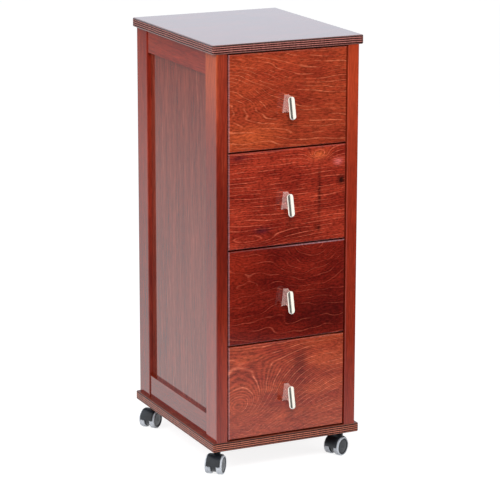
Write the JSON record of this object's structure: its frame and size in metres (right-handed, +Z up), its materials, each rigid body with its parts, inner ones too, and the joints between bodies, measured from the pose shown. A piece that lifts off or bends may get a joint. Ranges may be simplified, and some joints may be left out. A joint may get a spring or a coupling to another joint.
{
  "type": "paper storage drawer cabinet",
  "caption": "Tall narrow wooden cabinet of equal inset drawers for flat sheets of craft paper, with leaning metal pulls, framed side panels, plywood top and base, and twin-wheel casters.",
  "frame": {"origin": "on the floor, at the middle of the whole object's box", "axes": "+Z up, +X to the right of someone facing the drawers, drawers open towards -Y"},
  "size_m": [0.4494, 0.5467, 1.126],
  "materials": {
    "stained_plywood": "reddish brown stain under clear gloss lacquer, plies showing as stripes on the edges",
    "stained_hardwood": "reddish brown stain under clear gloss lacquer, straight grain",
    "stained_veneer": "reddish brown stained birch veneer under clear gloss lacquer",
    "drawer_face": "reddish brown stained rotary-cut birch veneer, grain across the front, clear gloss lacquer",
    "birch_plywood": "plain sanded birch plywood with thin lacquer",
    "plain_hardwood": "planed bare beech",
    "nickel_pull": "satin nickel plate on a casting",
    "zinc_steel": "zinc plated steel",
    "caster_plastic": "dark grey moulded nylon",
    "caster_tyre": "light grey soft non-marking tyre"
  },
  "bodies": {
    "cabinet": {"top_panel": "stained_plywood", "bottom_panel": "stained_plywood", "front_left_post": "stained_hardwood", "front_right_post": "stained_hardwood", "back_left_post": "stained_hardwood", "back_right_post": "stained_hardwood", "side_rails": "stained_hardwood", "left_side_panel": "stained_veneer", "right_side_panel": "stained_veneer", "back_panel": "stained_veneer", "left_runners": "plain_hardwood", "right_runners": "plain_hardwood", "drawer_stops": "plain_hardwood", "top_dowels": "plain_hardwood", "base_screws": "zinc_steel", "runner_screws": "zinc_steel", "back_panel_screws": "zinc_steel", "caster_plates": "zinc_steel", "caster_stems": "zinc_steel", "caster_plate_screws": "zinc_steel"},
    "drawer_1": {"drawer_1_front": "drawer_face", "drawer_1_sides": "birch_plywood", "drawer_1_back": "birch_plywood", "drawer_1_bottom": "birch_plywood", "drawer_1_pull": "nickel_pull", "drawer_1_fasteners": "zinc_steel"},
    "drawer_2": {"drawer_2_front": "drawer_face", "drawer_2_sides": "birch_plywood", "drawer_2_back": "birch_plywood", "drawer_2_bottom": "birch_plywood", "drawer_2_pull": "nickel_pull", "drawer_2_fasteners": "zinc_steel"},
    "drawer_3": {"drawer_3_front": "drawer_face", "drawer_3_sides": "birch_plywood", "drawer_3_back": "birch_plywood", "drawer_3_bottom": "birch_plywood", "drawer_3_pull": "nickel_pull", "drawer_3_fasteners": "zinc_steel"},
    "drawer_4": {"drawer_4_front": "drawer_face", "drawer_4_sides": "birch_plywood", "drawer_4_back": "birch_plywood", "drawer_4_bottom": "birch_plywood", "drawer_4_pull": "nickel_pull", "drawer_4_fasteners": "zinc_steel"},
    "caster_front_left_fork": {"caster_front_left_housing": "caster_plastic", "caster_front_left_axle": "zinc_steel"},
    "caster_front_left_left_wheel": {"caster_front_left_left_wheel": "caster_tyre"},
    "caster_front_left_right_wheel": {"caster_front_left_right_wheel": "caster_tyre"},
    "caster_front_right_fork": {"caster_front_right_housing": "caster_plastic", "caster_front_right_axle": "zinc_steel"},
    "caster_front_right_left_wheel": {"caster_front_right_left_wheel": "caster_tyre"},
    "caster_front_right_right_wheel": {"caster_front_right_right_wheel": "caster_tyre"},
    "caster_back_left_fork": {"caster_back_left_housing": "caster_plastic", "caster_back_left_axle": "zinc_steel"},
    "caster_back_left_left_wheel": {"caster_back_left_left_wheel": "caster_tyre"},
    "caster_back_left_right_wheel": {"caster_back_left_right_wheel": "caster_tyre"},
    "caster_back_right_fork": {"caster_back_right_housing": "caster_plastic", "caster_back_right_axle": "zinc_steel"},
    "caster_back_right_left_wheel": {"caster_back_right_left_wheel": "caster_tyre"},
    "caster_back_right_right_wheel": {"caster_back_right_right_wheel": "caster_tyre"}
  },
  "joints": [
    {"name": "drawer_1_slide", "type": "slide", "parent": "cabinet", "child": "drawer_1", "axis": [0, -1, 0], "range_m": [0, 0.38]},
    {"name": "drawer_2_slide", "type": "slide", "parent": "cabinet", "child": "drawer_2", "axis": [0, -1, 0], "range_m": [0, 0.38]},
    {"name": "drawer_3_slide", "type": "slide", "parent": "cabinet", "child": "drawer_3", "axis": [0, -1, 0], "range_m": [0, 0.38]},
    {"name": "drawer_4_slide", "type": "slide", "parent": "cabinet", "child": "drawer_4", "axis": [0, -1, 0], "range_m": [0, 0.38]},
    {"name": "caster_front_left_swivel", "type": "hinge", "parent": "cabinet", "child": "caster_front_left_fork", "pos_m": [-0.179, -0.19046, 0.066], "axis": [0, 0, 1], "continuous": true},
    {"name": "caster_front_left_left_wheel_spin", "type": "hinge", "parent": "caster_front_left_fork", "child": "caster_front_left_left_wheel", "pos_m": [-0.1896, -0.20245, 0.025], "axis": [0.749, -0.6626, 0], "continuous": true},
    {"name": "caster_front_left_right_wheel_spin", "type": "hinge", "parent": "caster_front_left_fork", "child": "caster_front_left_right_wheel", "pos_m": [-0.1896, -0.20245, 0.025], "axis": [0.749, -0.6626, 0], "continuous": true},
    {"name": "caster_front_right_swivel", "type": "hinge", "parent": "cabinet", "child": "caster_front_right_fork", "pos_m": [0.179, -0.19046, 0.066], "axis": [0, 0, 1], "continuous": true},
    {"name": "caster_front_right_left_wheel_spin", "type": "hinge", "parent": "caster_front_right_fork", "child": "caster_front_right_left_wheel", "pos_m": [0.16481, -0.19785, 0.025], "axis": [0.4617, -0.887, 0], "continuous": true},
    {"name": "caster_front_right_right_wheel_spin", "type": "hinge", "parent": "caster_front_right_fork", "child": "caster_front_right_right_wheel", "pos_m": [0.16481, -0.19785, 0.025], "axis": [0.4617, -0.887, 0], "continuous": true},
    {"name": "caster_back_left_swivel", "type": "hinge", "parent": "cabinet", "child": "caster_back_left_fork", "pos_m": [-0.179, 0.22754, 0.066], "axis": [0, 0, 1], "continuous": true},
    {"name": "caster_back_left_left_wheel_spin", "type": "hinge", "parent": "caster_back_left_fork", "child": "caster_back_left_left_wheel", "pos_m": [-0.19169, 0.2178, 0.025], "axis": [0.6088, -0.7934, 0], "continuous": true},
    {"name": "caster_back_left_right_wheel_spin", "type": "hinge", "parent": "caster_back_left_fork", "child": "caster_back_left_right_wheel", "pos_m": [-0.19169, 0.2178, 0.025], "axis": [0.6088, -0.7934, 0], "continuous": true},
    {"name": "caster_back_right_swivel", "type": "hinge", "parent": "cabinet", "child": "caster_back_right_fork", "pos_m": [0.179, 0.22754, 0.066], "axis": [0, 0, 1], "continuous": true},
    {"name": "caster_back_right_left_wheel_spin", "type": "hinge", "parent": "caster_back_right_fork", "child": "caster_back_right_left_wheel", "pos_m": [0.19169, 0.2178, 0.025], "axis": [0.6088, 0.7934, 0], "continuous": true},
    {"name": "caster_back_right_right_wheel_spin", "type": "hinge", "parent": "caster_back_right_fork", "child": "caster_back_right_right_wheel", "pos_m": [0.19169, 0.2178, 0.025], "axis": [0.6088, 0.7934, 0], "continuous": true}
  ]
}
